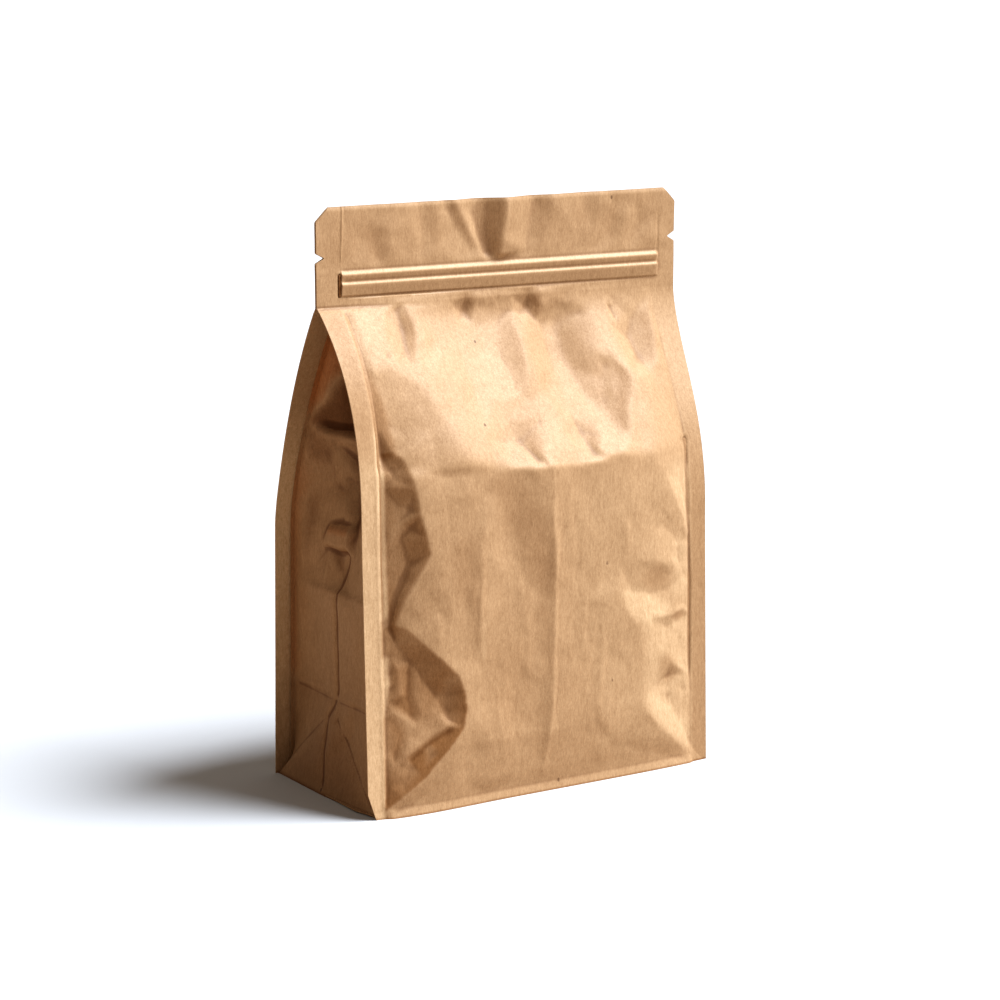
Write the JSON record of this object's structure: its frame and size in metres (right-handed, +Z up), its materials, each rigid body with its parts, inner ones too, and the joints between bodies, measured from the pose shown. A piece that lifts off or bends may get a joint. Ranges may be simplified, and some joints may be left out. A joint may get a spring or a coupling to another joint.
{
  "type": "coffee bag",
  "caption": "Filled flat-bottom coffee bag of plain kraft paper, sealed along its corners, with folded side gussets and a flat header that holds a press-to-close zip.",
  "frame": {"origin": "on the floor, under the middle of the bag", "axes": "+Z up towards the header, -Y out of the front, +X to the right seen from the front"},
  "size_m": [0.13, 0.0708, 0.182],
  "materials": {
    "kraft_paper": "matte brown kraft paper laminate, slightly creased",
    "kraft_gusset": "matte brown kraft paper laminate, folded"
  },
  "bodies": {
    "root": {"body": "kraft_gusset", "front_sheet": "kraft_paper", "back_sheet": "kraft_paper"}
  },
  "joints": []
}
